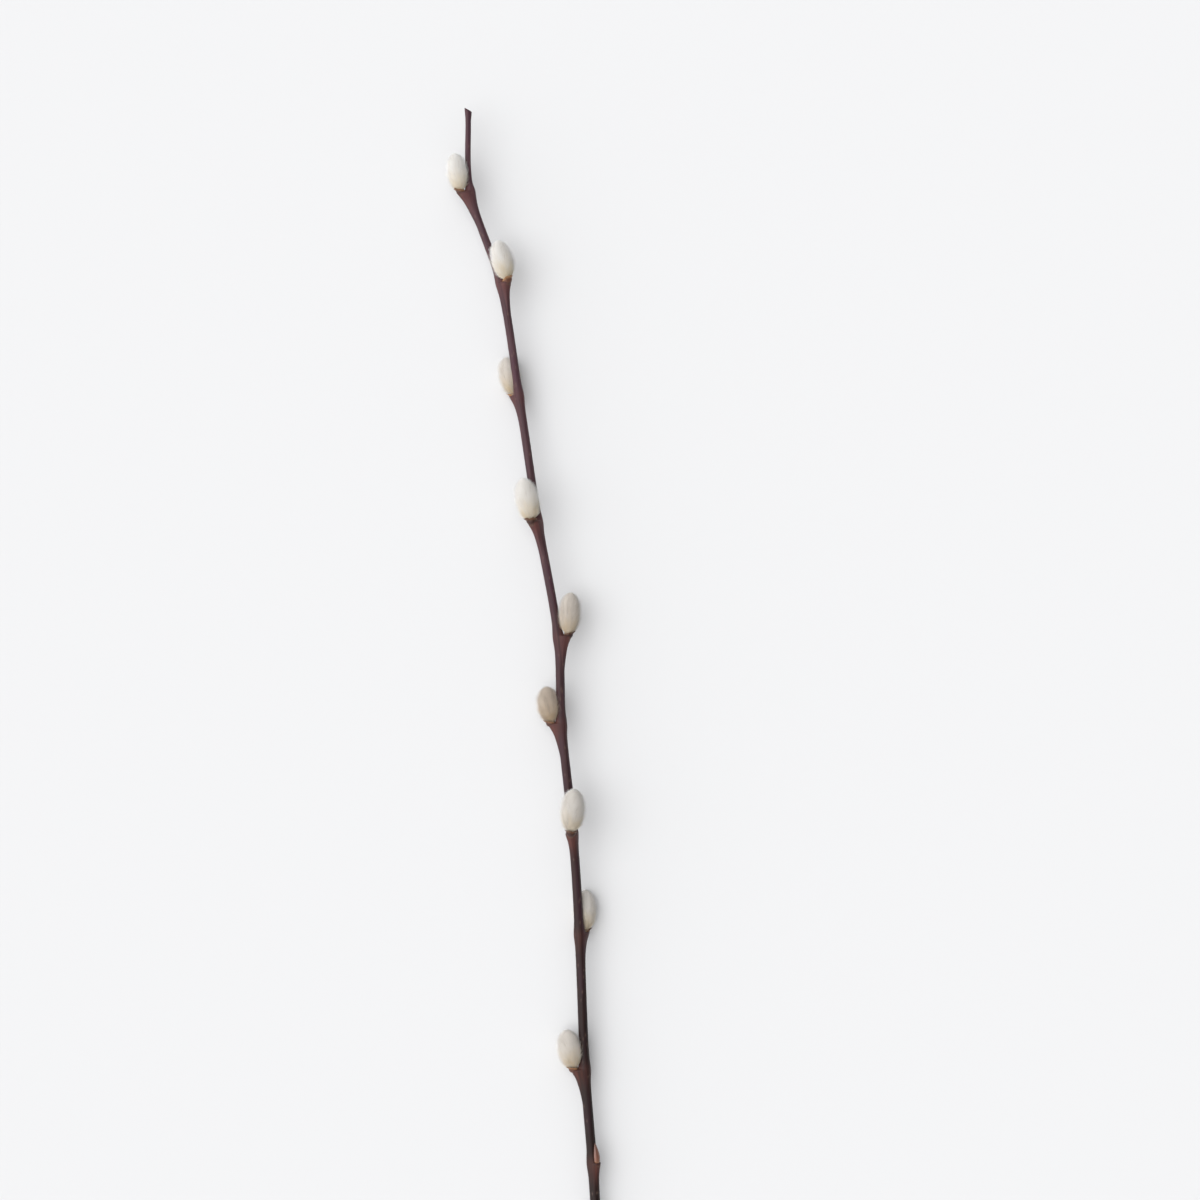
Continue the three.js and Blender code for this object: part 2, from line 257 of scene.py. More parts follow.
# Colour ramps, as (place, colour) stops
LOWER_BARK = ((0.3, (0.011, 0.004, 0.003)), (0.55, (0.025, 0.009, 0.007)), (0.75, (0.048, 0.02, 0.014)))
UPPER_BARK = ((0.3, (0.033, 0.014, 0.018)), (0.55, (0.064, 0.029, 0.035)), (0.75, (0.104, 0.053, 0.055)))
FRESH_WOOD = ((0.16, (0.33, 0.22, 0.12)), (0.22, (0.62, 0.5, 0.3)), (0.7, (0.68, 0.57, 0.36)),
              (0.86, (0.42, 0.4, 0.16)), (0.93, (0.1, 0.05, 0.04)))
DRIED_WOOD = ((0.16, (0.06, 0.04, 0.03)), (0.24, (0.15, 0.1, 0.07)), (0.7, (0.19, 0.13, 0.09)),
              (0.86, (0.1, 0.06, 0.05)), (0.93, (0.05, 0.03, 0.03)))
HAIR_ALONG = ((0.0, (0.88, 0.84, 0.77)), (0.4, (0.97, 0.955, 0.925)), (1.0, (0.99, 0.985, 0.975)))
HAIR_TONES = ((0.02, (0.84, 0.72, 0.52)), (0.15, (0.95, 0.88, 0.76)), (0.34, (1.0, 0.985, 0.96)),
              (0.74, (1.0, 0.99, 0.975)), (0.77, (0.8, 0.76, 0.71)), (1.0, (0.62, 0.57, 0.52)))
FLORET_ALONG = ((0.0, (0.62, 0.55, 0.42)), (0.5, (0.55, 0.46, 0.34)), (1.0, (0.2, 0.13, 0.09)))
HUSK_VEINS = ((0.3, (0.055, 0.018, 0.011)), (0.6, (0.12, 0.042, 0.022)), (0.8, (0.19, 0.078, 0.036)))
BUD_ALONG = ((0.0, (0.2, 0.095, 0.045)), (0.35, (0.15, 0.05, 0.03)), (1.0, (0.055, 0.02, 0.016)))

# Single colours
BARK_PURPLE = (0.052, 0.016, 0.029)
BARK_SPECK = (0.11, 0.064, 0.052)
LOWER_BARK_TONE_AND_SHADE = (0.48, 0.44, 0.42)
NODE_TINT = (0.118, 0.038, 0.028)
PORE_COLOUR = (0.14, 0.088, 0.066)
LEDGE_SHADE_COLOUR = (0.024, 0.012, 0.009)
SCAR_COLOUR = (0.092, 0.05, 0.036)
BUNDLE_COLOUR = (0.03, 0.018, 0.014)
RAY_DARKENING = (0.25, 0.16, 0.09)
HAIR_DARKENING = (0.84, 0.81, 0.77)
# Painted shade: the colour that a catkin's painted shade multiplies into its fur
PAINTED_SHADE_COLOUR = (0.58, 0.49, 0.41)
FLECK_DARKENING = (0.55, 0.4, 0.28)
HUSK_RIM = (0.4, 0.205, 0.085)
HUSK_INSIDE = (0.48, 0.33, 0.18)
HUSK_DARKENING = (0.26, 0.22, 0.24)
BUD_VEIN = (0.26, 0.11, 0.055)
TABLE_COLOUR = (0.65, 0.65, 0.654, 1.0)
WALL_COLOUR = (0.985, 0.99, 1.0, 1.0)

# How the materials' noises are stretched, and where the bark changes along the stem
STREAK_GRAIN = (1.5, 1.5, 0.07)
CLOUD_GRAIN = (0.3, 0.3, 0.035)
SPECK_GRAIN = (6.0, 6.0, 2.5)
FINE_GRAIN = (5.0, 5.0, 0.5)
RAY_GRAIN = (9.0, 9.0, 1.5)
HAIR_GRAIN = (60.0, 1.0, 1.0)
FLECK_GRAIN = (14.0, 14.0, 14.0)
HUSK_GRAIN = (14.0, 1.2, 1.0)
BUD_GRAIN = (9.0, 1.5, 1.0)
NOISE_ROUGHNESS = 0.55
BARK_CHANGE = (150.0, 520.0)
# Where the bark grows darker towards the butt, partly its own colour and partly painted shade
BARK_SHADE_END = (150.0, 420.0)

# The table, the light and the camera: metres and degrees, but millimetres for lens and sensor
TABLE_HALF = 6.0
WALL_LIGHT = 1.6
CEILING_LIGHT = 0.4
SIDE_LIGHT = 0.75
LAMP_STRENGTH = 2.15
LAMP_SPREAD = 70.0
LAMP_DIRECTION = (-0.45, 0.12, 1.0)
FRAME_WIDTH = 0.516
FRAME_CENTRE = (0.02795, 0.08901)
FRAME_LEVEL = 0.01
LENS = 85.0
SENSOR = 36.0


# Small helpers

def smoothstep(value, low, high):
    share = np.clip((value - low) / (high - low), 0.0, 1.0)
    return share * share * (3.0 - 2.0 * share)


def bell(value, reach):
    return np.exp(-((value / reach) ** 2))


def unit(vectors):
    return vectors / np.linalg.norm(vectors, axis=-1, keepdims=True)


def wrapped(angle):
    return np.mod(angle + np.pi, 2 * np.pi) - np.pi


def even_turns(sides):
    return np.arange(sides) * 2 * np.pi / sides


def polar(radius, angle, height):
    return np.stack([radius * np.cos(angle), radius * np.sin(angle), height + 0.0 * angle], axis=-1)


# The stem's axis: a centripetal Catmull-Rom curve through the nodes, measured by its length from the butt

def span_points(p0, p1, p2, p3, times):
    d0, d1, d2 = (math.sqrt(np.linalg.norm(b - a)) for a, b in ((p0, p1), (p1, p2), (p2, p3)))
    start = ((p1 - p0) / d0 - (p2 - p0) / (d0 + d1) + (p2 - p1) / d1) * d1
    end = ((p2 - p1) / d1 - (p3 - p1) / (d1 + d2) + (p3 - p2) / d2) * d1
    cubic = 2 * p1 - 2 * p2 + start + end
    square = -3 * p1 + 3 * p2 - 2 * start - end
    t = times[:, None]
    return p1 + start * t + square * t**2 + cubic * t**3


def stem_route():
    knots = np.array([BUTT] + [node["at"] for node in reversed(NODES)] + [TIP], float)
    ends = np.vstack([2 * knots[0] - knots[1], knots, 2 * knots[-1] - knots[-2]])
    times = np.arange(STEPS_PER_SPAN) / STEPS_PER_SPAN
    spans = [span_points(*ends[i : i + 4], times) for i in range(len(knots) - 1)]
    return np.vstack(spans + [knots[-1:]])


ROUTE = stem_route()
ROUTE_STATIONS = np.concatenate([[0.0], np.cumsum(np.linalg.norm(np.diff(ROUTE, axis=0), axis=1))])
ROUTE_ALONG = unit(np.gradient(ROUTE, ROUTE_STATIONS, axis=0))
STEM_LENGTH = ROUTE_STATIONS[-1]
for index, node in enumerate(NODES):
    node["station"] = ROUTE_STATIONS[STEPS_PER_SPAN * (len(NODES) - index)]
    node["turn"] = math.radians(node["turn"])


def on_route(table, station):
    return np.stack([np.interp(station, ROUTE_STATIONS, table[:, axis]) for axis in range(3)], axis=-1)


def stem_frame(station):
    """The axis point at a station, and the directions along the stem, right and up."""
    station = np.clip(np.asarray(station, float), 0.0, STEM_LENGTH)
    along = unit(on_route(ROUTE_ALONG, station))
    right = unit(np.array([1.0, 0.0, 0.0]) - along * along[..., :1])
    return on_route(ROUTE, station), along, right, np.cross(right, along)


def radial(right, up, turn):
    turn = np.asarray(turn)[..., None]
    return right * np.cos(turn) + up * np.sin(turn)


def plain_radius(station):
    """The stem tapers slowly up to its top node, and is thinner above it."""
    top = NODES[0]["station"]
    below = BUTT_RADIUS + (SHOULDER_RADIUS - BUTT_RADIUS) * np.clip(station / top, 0.0, 1.0)
    return below + (TIP_RADIUS - below) * smoothstep(station, top, top + SHOULDER_REACH)


def cushion_height(node):
    return CATKIN_CUSHION if node["catkin"] else BUD_CUSHION


def cushion_share(distance, aside):
    """The share of a cushion's height at a distance above its ledge and an angle aside."""
    below = np.minimum(distance, 0.0)
    rise = np.maximum(0.0, 1.0 + below / CUSHION_LENGTH) ** CUSHION_POWER
    rise = rise + LIP_SHARE * bell(below, LIP_REACH)
    ledge = rise * (1.0 - smoothstep(distance, *CUSHION_LIP))
    axil = np.where(distance > 0.0, AXIL_FILL * np.exp(-np.maximum(distance, 0.0) / AXIL_REACH), 0.0)
    return np.maximum(ledge, axil) * bell(aside, CUSHION_SPREAD)


def stem_radius(station, turn):
    radius = plain_radius(station) + 0.0 * turn
    for node in NODES:
        distance = station - node["station"]
        radius = radius + SWELLING * bell(distance, SWELLING_REACH)
        radius = radius + cushion_height(node) * cushion_share(distance, wrapped(turn - node["turn"]))
    return radius


def stem_place(points, node):
    """Each point's station, and its offset from the stem's axis, for points near a node."""
    station = np.full(points.shape[:-1], node["station"])
    for _ in range(PLACE_STEPS):
        middle, along, _, _ = stem_frame(station)
        station = station + np.sum((points - middle) * along, axis=-1)
    return station, points - stem_frame(station)[0]


# Meshes from arrays

def place(name, data):
    made = bpy.data.objects.new(name, data)
    bpy.context.scene.collection.objects.link(made)
    return made


def make_piece(name, points, faces, materials, slots=None, attributes=None, uv=None, normals=None):
    """points in millimetres; faces is a list of index arrays, one row a face; uv is one place a point."""
    mesh = bpy.data.meshes.new(name)
    sizes = np.concatenate([np.full(len(block), block.shape[1]) for block in faces])
    corners = np.concatenate([block.ravel() for block in faces]).astype(np.int32)
    mesh.vertices.add(len(points))
    mesh.vertices.foreach_set("co", (np.asarray(points) * MM).astype(np.float32).ravel())
    mesh.loops.add(len(corners))
    mesh.loops.foreach_set("vertex_index", corners)
    mesh.polygons.add(len(sizes))
    starts = np.concatenate([[0], np.cumsum(sizes)[:-1]]).astype(np.int32)
    mesh.polygons.foreach_set("loop_start", starts)
    mesh.polygons.foreach_set("use_smooth", np.full(len(sizes), True))
    for material in materials:
        mesh.materials.append(material)
    if slots is not None:
        indices = np.concatenate([np.full(len(block), slot) for block, slot in zip(faces, slots)])
        mesh.polygons.foreach_set("material_index", indices.astype(np.int32))
    for key, values in (attributes or {}).items():
        layer = mesh.attributes.new(key, "FLOAT_VECTOR", "POINT")
        layer.data.foreach_set("vector", np.asarray(values, np.float32).ravel())
    if uv is not None:
        layer = mesh.uv_layers.new(name="OFBake")
        layer.data.foreach_set("uv", np.asarray(uv, np.float32)[corners].ravel())
    mesh.update(calc_edges=True)
    mesh.validate()
    if normals is not None:
        mesh.normals_split_custom_set_from_vertices(normals.tolist())
    return place(name, mesh)


def tube_faces(rings, sides):
    ring, side = np.meshgrid(np.arange(rings - 1), np.arange(sides), indexing="ij")
    here = ring * sides + side
    beside = ring * sides + (side + 1) % sides
    return np.stack([here, beside, beside + sides, here + sides], axis=-1).reshape(-1, 4)


def fan_faces(pole, first, sides, outward):
    side = np.arange(sides)
    here, beside = first + side, first + (side + 1) % sides
    order = (here, beside) if outward else (beside, here)
    return np.stack([np.full(sides, pole), *order], axis=-1)


def closed_tube(rings, sides):
    """Faces of a tube whose two poles follow its rings, the lower one first."""
    size = rings * sides
    base = fan_faces(size, 0, sides, False)
    tip = fan_faces(size + 1, size - sides, sides, True)
    return [tube_faces(rings, sides), base, tip]


def dress(piece, slot, *nodes):
    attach(piece, "root")
    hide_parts(*nodes)


# Materials

class Shader:
    """A short way to write a material's nodes."""

    def __init__(self, name, **values):
        self.material = bpy.data.materials.new(name)
        self.material.use_nodes = True
        tree = self.material.node_tree
        self.nodes, self.links = tree.nodes, tree.links
        self.surface = self.nodes["Principled BSDF"]
        for key, value in values.items():
            self.set(key.replace("_", " ").title().replace("Ior", "IOR"), value)

    def feed(self, socket, value):
        if isinstance(value, bpy.types.NodeSocket):
            self.links.new(value, socket)
        else:
            socket.default_value = value

    def node(self, kind, inputs=None, **settings):
        made = self.nodes.new(kind)
        for key, value in settings.items():
            setattr(made, key, value)
        for key, value in (inputs or {}).items():
            self.feed(made.inputs[key], value)
        return made

    def attribute(self, name):
        return self.node("ShaderNodeAttribute", attribute_name=name).outputs["Vector"]

    def parts(self, vector):
        split = self.node("ShaderNodeSeparateXYZ", {0: vector})
        return [split.outputs[axis] for axis in "XYZ"]

    def joined(self, *parts):
        return self.node("ShaderNodeCombineXYZ", dict(enumerate(parts))).outputs[0]

    def math(self, operation, first, second):
        return self.node("ShaderNodeMath", {0: first, 1: second}, operation=operation).outputs[0]

    def times(self, first, second):
        return self.math("MULTIPLY", first, second)

    def span(self, value, low, high, to_low=0.0, to_high=1.0):
        inputs = {"Value": value, "From Min": low, "From Max": high, "To Min": to_low, "To Max": to_high}
        return self.node("ShaderNodeMapRange", inputs, interpolation_type="SMOOTHSTEP").outputs["Result"]

    def noise(self, vector, grain, detail):
        fitted = self.node("ShaderNodeMapping", {"Vector": vector, "Scale": grain}).outputs[0]
        inputs = {"Vector": fitted, "Scale": 1.0, "Detail": detail, "Roughness": NOISE_ROUGHNESS}
        return self.node("ShaderNodeTexNoise", inputs).outputs["Fac"]

    def ramp(self, value, stops):
        made = self.node("ShaderNodeValToRGB", {0: value})
        elements = made.color_ramp.elements
        elements.remove(elements[1])
        elements[0].position = stops[0][0]
        elements[0].color = (*stops[0][1], 1.0)
        for position, colour in stops[1:]:
            elements.new(position).color = (*colour, 1.0)
        return made.outputs["Color"]

    def mix(self, share, first, second, blend="MIX"):
        second = (*second, 1.0) if isinstance(second, tuple) else second
        inputs = {0: share, 6: first, 7: second}
        return self.node("ShaderNodeMix", inputs, data_type="RGBA", blend_type=blend).outputs[2]

    def darken(self, share, colour, by):
        return self.mix(share, colour, by, "MULTIPLY")

    def bump(self, height, distance, strength):
        inputs = {"Height": height, "Distance": distance * MM, "Strength": strength}
        self.set("Normal", self.node("ShaderNodeBump", inputs).outputs[0])

    def set(self, socket, value):
        self.feed(self.surface.inputs[socket], value)


def bark_material():
    s = Shader("bark", coat_weight=0.04, coat_roughness=0.4, specular_ior_level=0.2)
    grain = s.attribute("grain")
    near_node, pore, scar = s.parts(s.attribute("marks"))
    bundle, ledge, _ = s.parts(s.attribute("bundles_and_ledge_shade"))
    station = s.parts(grain)[2]
    streak = s.noise(grain, STREAK_GRAIN, detail=5.0)
    cloud = s.noise(grain, CLOUD_GRAIN, detail=2.0)
    speck = s.noise(grain, SPECK_GRAIN, detail=2.0)
    fine = s.noise(grain, FINE_GRAIN, detail=4.0)
    colour = s.mix(s.span(station, *BARK_CHANGE), s.ramp(streak, LOWER_BARK), s.ramp(streak, UPPER_BARK))
    colour = s.mix(s.span(cloud, 0.45, 0.7, to_high=0.55), colour, BARK_PURPLE)
    colour = s.mix(s.span(speck, 0.6, 0.75, to_high=0.3), colour, BARK_SPECK)
    # Darker towards the butt: partly the bark's own colour, partly painted shade
    colour = s.darken(s.span(station, *BARK_SHADE_END, 1.0, 0.0), colour, LOWER_BARK_TONE_AND_SHADE)
    tint = s.times(near_node, s.span(streak, 0.3, 0.7, 0.35, 0.8))
    colour = s.mix(tint, colour, NODE_TINT)
    colour = s.mix(s.times(pore, 0.55), colour, PORE_COLOUR)
    # Painted shade: a dark line along the crease where each catkin or bud sits on its ledge
    colour = s.mix(s.times(ledge, 0.7), colour, LEDGE_SHADE_COLOUR)
    colour = s.mix(s.times(scar, 0.75), colour, SCAR_COLOUR)
    colour = s.mix(s.times(bundle, 0.9), colour, BUNDLE_COLOUR)
    s.set("Base Color", colour)
    s.set("Roughness", s.span(streak, 0.3, 0.75, 0.42, 0.62))
    s.bump(s.math("ADD", fine, streak), distance=0.09, strength=0.8)
    return s.material


def cut_material():
    """Pith, wood, green bast and bark from the middle out, fresh or dried, with fine rays."""
    s = Shader("cut_wood", roughness=0.8, specular_ior_level=0.3)
    across, aside, age = s.parts(s.attribute("cut"))
    spot = s.joined(across, aside)
    share = s.node("ShaderNodeVectorMath", {0: spot}, operation="LENGTH").outputs["Value"]
    way = s.parts(s.node("ShaderNodeVectorMath", {0: spot}, operation="NORMALIZE").outputs["Vector"])
    rays = s.noise(s.joined(way[0], way[1], share), RAY_GRAIN, detail=3.0)
    colour = s.mix(age, s.ramp(share, FRESH_WOOD), s.ramp(share, DRIED_WOOD))
    colour = s.darken(s.span(rays, 0.45, 0.7, to_high=0.35), colour, RAY_DARKENING)
    s.set("Base Color", colour)
    s.bump(rays, distance=0.08, strength=0.7)
    return s.material


def fur_material():
    s = Shader("fur", roughness=0.6, specular_ior_level=0.35, sheen_weight=1.0, sheen_roughness=0.4)
    tone, along, painted_shade = s.parts(s.attribute("fur"))
    variety = s.noise(s.joined(tone, along), HAIR_GRAIN, detail=1.0)
    colour = s.darken(1.0, s.ramp(along, HAIR_ALONG), s.ramp(tone, HAIR_TONES))
    colour = s.darken(s.span(variety, 0.35, 0.7, to_high=0.5), colour, HAIR_DARKENING)
    # Painted shade: each catkin's fur darker and warmer by its own amount
    colour = s.darken(painted_shade, colour, PAINTED_SHADE_COLOUR)
    s.set("Base Color", colour)
    return s.material


def floret_material():
    s = Shader("floret_scale", roughness=0.7, specular_ior_level=0.3)
    own = s.attribute("fur")
    fleck = s.noise(own, FLECK_GRAIN, detail=2.0)
    colour = s.ramp(s.parts(own)[0], FLORET_ALONG)
    s.set("Base Color", s.darken(s.span(fleck, 0.4, 0.7, to_high=0.4), colour, FLECK_DARKENING))
    return s.material


def husk_material():
    s = Shader("husk", coat_weight=0.06, coat_roughness=0.3, specular_ior_level=0.3)
    along, turn, inside = s.parts(s.attribute("husk"))
    weathered = s.parts(s.attribute("weather"))[0]
    vein = s.noise(s.joined(turn, along), HUSK_GRAIN, detail=4.0)
    colour = s.mix(s.span(along, 0.45, 1.0, to_high=0.8), s.ramp(vein, HUSK_VEINS), HUSK_RIM)
    colour = s.mix(s.times(inside, 0.7), colour, HUSK_INSIDE)
    s.set("Base Color", s.darken(weathered, colour, HUSK_DARKENING))
    s.set("Roughness", s.span(vein, 0.3, 0.75, 0.3, 0.55))
    s.bump(vein, distance=0.06, strength=0.7)
    return s.material


def bud_material():
    s = Shader("bud", coat_weight=0.4, coat_roughness=0.2, specular_ior_level=0.5)
    along, turn, _ = s.parts(s.attribute("husk"))
    vein = s.noise(s.joined(turn, along), BUD_GRAIN, detail=4.0)
    colour = s.mix(s.span(vein, 0.4, 0.75, to_high=0.7), s.ramp(along, BUD_ALONG), BUD_VEIN)
    s.set("Base Color", colour)
    s.set("Roughness", s.span(vein, 0.3, 0.75, 0.26, 0.45))
    s.bump(vein, distance=0.05, strength=0.6)
    return s.material


# The stem

def stem_stations():
    stops = [np.arange(0.0, STEM_LENGTH, PLAIN_STEP), [STEM_LENGTH]]
    for node in NODES:
        stops.append(node["station"] + np.arange(-CUSHION_LENGTH, LEDGE_ZONE[1], CUSHION_STEP))
        stops.append(node["station"] + np.arange(*LEDGE_ZONE, LEDGE_STEP))
    stations = np.unique(np.concatenate(stops))
    kept = np.concatenate([[True], np.diff(stations) > LEDGE_STEP / 2])
    kept[-2:] = [False, True]
    return stations[kept]


def ring_turns(station):
    """The angles round each ring, drawn together on the side where a node's ledge is."""
    even = even_turns(STEM_SIDES)
    turns = np.tile(even, (len(station), 1))
    for node in NODES:
        near = bell(station - node["station"], CUSHION_LENGTH)[:, None]
        turns -= SIDE_CROWDING * near * np.sin(even - node["turn"])
    return turns


def pores(rng):
    station = rng.uniform(PORE_ENDS[0], STEM_LENGTH - PORE_ENDS[1], PORES)
    turn = rng.uniform(0.0, 2 * np.pi, PORES)
    return station, turn, rng.uniform(*PORE_HALF_LENGTH, PORES), rng.uniform(*PORE_HALF_WIDTH, PORES)


def pore_mask(station, turn, rng):
    mask = np.zeros(turn.shape)
    for middle, facing, half_length, half_width in zip(*pores(rng)):
        fade = PORE_FADE * half_length
        low, high = np.searchsorted(station[:, 0], (middle - fade, middle + fade))
        along = (station[low:high] - middle) / half_length
        across = wrapped(turn[low:high] - facing) * plain_radius(middle) / half_width
        mask[low:high] = np.maximum(mask[low:high], np.exp(-(along**2) - across**2))
    return mask


def scar_curve(across):
    """The curved middle line of a leaf scar: its distance above the ledge at each place across."""
    return SCAR_CENTRE + SCAR_CURL * (across / SCAR_HALF_WIDTH) ** 2


def scar_mask(across, distance):
    half = SCAR_HALF_HEIGHT * np.sqrt(np.clip(1 - (across / SCAR_HALF_WIDTH) ** 2, 0.0, 1.0)) + TINY
    return 1 - smoothstep(np.abs(distance - scar_curve(across)) / half, *SCAR_EDGE)


def bundle_mask(across, distance):
    gaps = [np.hypot(across - offset, distance - scar_curve(offset)) for offset in BUNDLE_OFFSETS]
    return 1 - smoothstep(np.minimum.reduce(gaps), *BUNDLE_EDGE)


def node_masks(station, turn):
    """Where each node's leaf scar, bundle dots, painted shade along the ledge and reddish growth are."""
    scar, bundle, ledge, near = (np.zeros(turn.shape) for _ in range(4))
    for node in NODES:
        distance = station - node["station"]
        aside = wrapped(turn - node["turn"])
        height = cushion_height(node)
        across = aside * (plain_radius(node["station"]) + height) / math.sqrt(height / CATKIN_CUSHION)
        scar = np.maximum(scar, scar_mask(across, distance))
        bundle = np.maximum(bundle, bundle_mask(across, distance))
        side = bell(aside, CUSHION_SPREAD)
        # The ledge mask is painted shade along the crease where the catkin or bud sits
        ledge = np.maximum(ledge, side * bell(distance - LEDGE_SHADE_LINE, LEDGE_SHADE_REACH))
        reach = np.where(distance > 0, *TINT_REACH)
        near = np.maximum(near, (TINT_ALL_ROUND + (1 - TINT_ALL_ROUND) * side) * bell(distance, reach))
    return scar, bundle, ledge, near


def bark_relief(station, turn):
    """Slow waves and faint ribs of the bark, and the flare at the cut tip."""
    waves = WAVE_HEIGHT * np.sin(station / WAVE_LENGTH + WAVE_SWIRL * np.sin(turn))
    ribs = RIB_HEIGHT * np.sin(RIBS * turn + station / RIB_LENGTH)
    flare = TIP_FLARE * smoothstep(station, STEM_LENGTH - TIP_FLARE_REACH, STEM_LENGTH)
    return waves + ribs + flare


def cut_shift(station, turn, reach):
    """How far a cut end's slope moves a point along the stem."""
    shift = np.zeros(turn.shape)
    for cut, gap in ((BUTT_CUT, station), (TIP_CUT, STEM_LENGTH - station)):
        near = np.clip(1.0 - gap / CUT_REACH, 0.0, 1.0)
        shift += near * cut["slope"] * reach * np.cos(turn - math.radians(cut["turn"]))
    return shift


def cut_rings(ring_turn, ring_reach, station, age, rng):
    """Rings that close a cut end, from the bark to the pith, their marks, and the end's middle."""
    shares = np.array(CUT_SHARES)[:, None]
    turns = np.tile(ring_turn, (len(CUT_SHARES), 1))
    reach = ring_reach[None, :] * shares
    middle, along, right, up = stem_frame(station)
    outward = 1.0 if age == DRIED else -1.0
    rough = outward * rng.normal(0.0, CUT_ROUGHNESS, reach.shape) * (shares < CUT_SMOOTH_RIM)
    sunk = -outward * PITH_DEPTH * bell(shares, PITH_SHARE)
    shift = cut_shift(np.full(turns.shape, station), turns, reach) + rough + sunk
    points = middle + radial(right, up, turns) * reach[..., None] + along * shift[..., None]
    return points.reshape(-1, 3), polar(shares, turns, age).reshape(-1, 3), middle + along * sunk[-1, 0]


def close_ends(skin, turn, reach, stations, rng):
    """The bark with a fresh cut at the butt and a dried one at the tip: points, faces, slots and marks."""
    rings, sides = turn.shape
    blocks, marks = [skin.reshape(-1, 3)], [np.zeros((rings * sides, 3))]
    faces, slots = [tube_faces(rings, sides)[:, ::-1]], [0]
    for age, ring in ((FRESH, 0), (DRIED, rings - 1)):
        inner, inner_marks, pole = cut_rings(turn[ring], reach[ring], stations[ring], age, rng)
        first = sum(map(len, blocks))
        rim = ring * sides + np.arange(sides)
        here = np.vstack([rim, first + np.arange(len(inner)).reshape(-1, sides)])
        beside = np.roll(here, -1, axis=1)
        quads = np.stack([here[:-1], here[1:], beside[1:], beside[:-1]], axis=-1).reshape(-1, 4)
        fan = fan_faces(first + len(inner), here[-1, 0], sides, age == FRESH)
        faces += [quads[:, ::-1] if age == FRESH else quads, fan]
        slots += [1, 1]
        blocks += [inner, pole[None, :]]
        marks += [inner_marks, np.array([[0.0, 0.0, age]])]
        marks[0][rim] = polar(1.0, turn[ring], age)
    points = np.vstack(blocks)
    points[:, 2] = np.maximum(points[:, 2], 0.0)
    return points, faces, slots, np.vstack(marks)


def padded(values, count):
    """Values of the bark's points, followed by zeros for the points of the cut ends."""
    values = values.reshape(-1, 3)
    return np.vstack([values, np.zeros((count - len(values), 3))])


def make_stem():
    rng = np.random.default_rng(SEED)
    stations = stem_stations()
    turn = ring_turns(stations)
    station = np.broadcast_to(stations[:, None], turn.shape)
    scar, bundle, ledge, near = node_masks(station, turn)
    pore = pore_mask(station, turn, rng) * (1 - np.clip(near, 0.0, NODE_PORE_LOSS))
    relief = bark_relief(station, turn) + PORE_HEIGHT * pore - SCAR_DEPTH * scar
    reach = stem_radius(station, turn) + relief
    middle, along, right, up = (part[:, None, :] for part in stem_frame(stations))
    skin = middle + radial(right, up, turn) * reach[..., None]
    skin = skin + along * cut_shift(station, turn, reach)[..., None]
    points, faces, slots, cut = close_ends(skin, turn, reach, stations, rng)
    attributes = {
        "grain": padded(polar(plain_radius(station), turn, station), len(points)),
        "marks": padded(np.stack([near, pore, scar], axis=-1), len(points)),
        "bundles_and_ledge_shade": padded(np.stack([bundle, ledge, 0 * ledge], axis=-1), len(points)),
        "cut": cut,
    }
    piece = make_piece("stem_bark", points, faces, [bark_material(), cut_material()], slots, attributes)
    dress(piece, "bark", "stem")


# What grows on the ledges

def seat_matrix(node, seat):
    """The axes and origin of a ledge: X away from the stem, Z along the internode above."""
    middle, along, right, up = stem_frame(node["station"])
    origin = middle + radial(right, up, node["turn"]) * (plain_radius(node["station"]) + seat["out"])
    origin = origin + along * seat["up"]
    _, along, right, up = stem_frame(node["station"] + AIM_HEIGHT)
    away = radial(right, up, node["turn"])
    axes = np.stack([away, np.cross(along, away), along], axis=1)
    lean, sway = math.radians(node["lean"]), math.radians(-node.get("sway", 0))
    turn_y = np.array([[math.cos(lean), 0, math.sin(lean)], [0, 1, 0], [-math.sin(lean), 0, math.cos(lean)]])
    turn_x = np.array([[1, 0, 0], [0, math.cos(sway), -math.sin(sway)], [0, math.sin(sway), math.cos(sway)]])
    return axes @ turn_y @ turn_x, origin


def seated(points, node, seat):
    axes, origin = seat_matrix(node, seat)
    return points @ axes.T + origin


def catkin_radius(share, width):
    """The radius of a catkin's envelope at a share of its length."""
    share = np.clip(share, 0.0, 1.0)
    below = np.clip((CATKIN_WIDEST - share) / CATKIN_WIDEST, 0.0, 1.0)
    above = np.clip((share - CATKIN_WIDEST) / (1.0 - CATKIN_WIDEST), 0.0, 1.0)
    base = (1 - below**2) ** CATKIN_BASE_FULLNESS
    tip = (1 - above**CATKIN_TIP_POWER) ** CATKIN_TIP_FULLNESS
    return width / 2 * base * tip


def press_flat(points, node):
    """Keeps a body off its ledge and off the stem's near side, and above the table."""
    station, _ = stem_place(points, node)
    lift = np.maximum(0.0, node["station"] + CUSHION_DROP + LEDGE_CLEARANCE - station)
    points = points + stem_frame(station)[1] * lift[..., None]
    station = station + lift
    middle, _, right, up = stem_frame(station)
    out = radial(right, up, node["turn"])
    swelling = SWELLING * bell(station - node["station"], SWELLING_REACH)
    depth = plain_radius(station) + swelling + AXIL_CLEARANCE - np.sum((points - middle) * out, axis=-1)
    points = points + out * np.maximum(0.0, depth)[..., None]
    points[..., 2] = np.maximum(points[..., 2], 0.0)
    return points


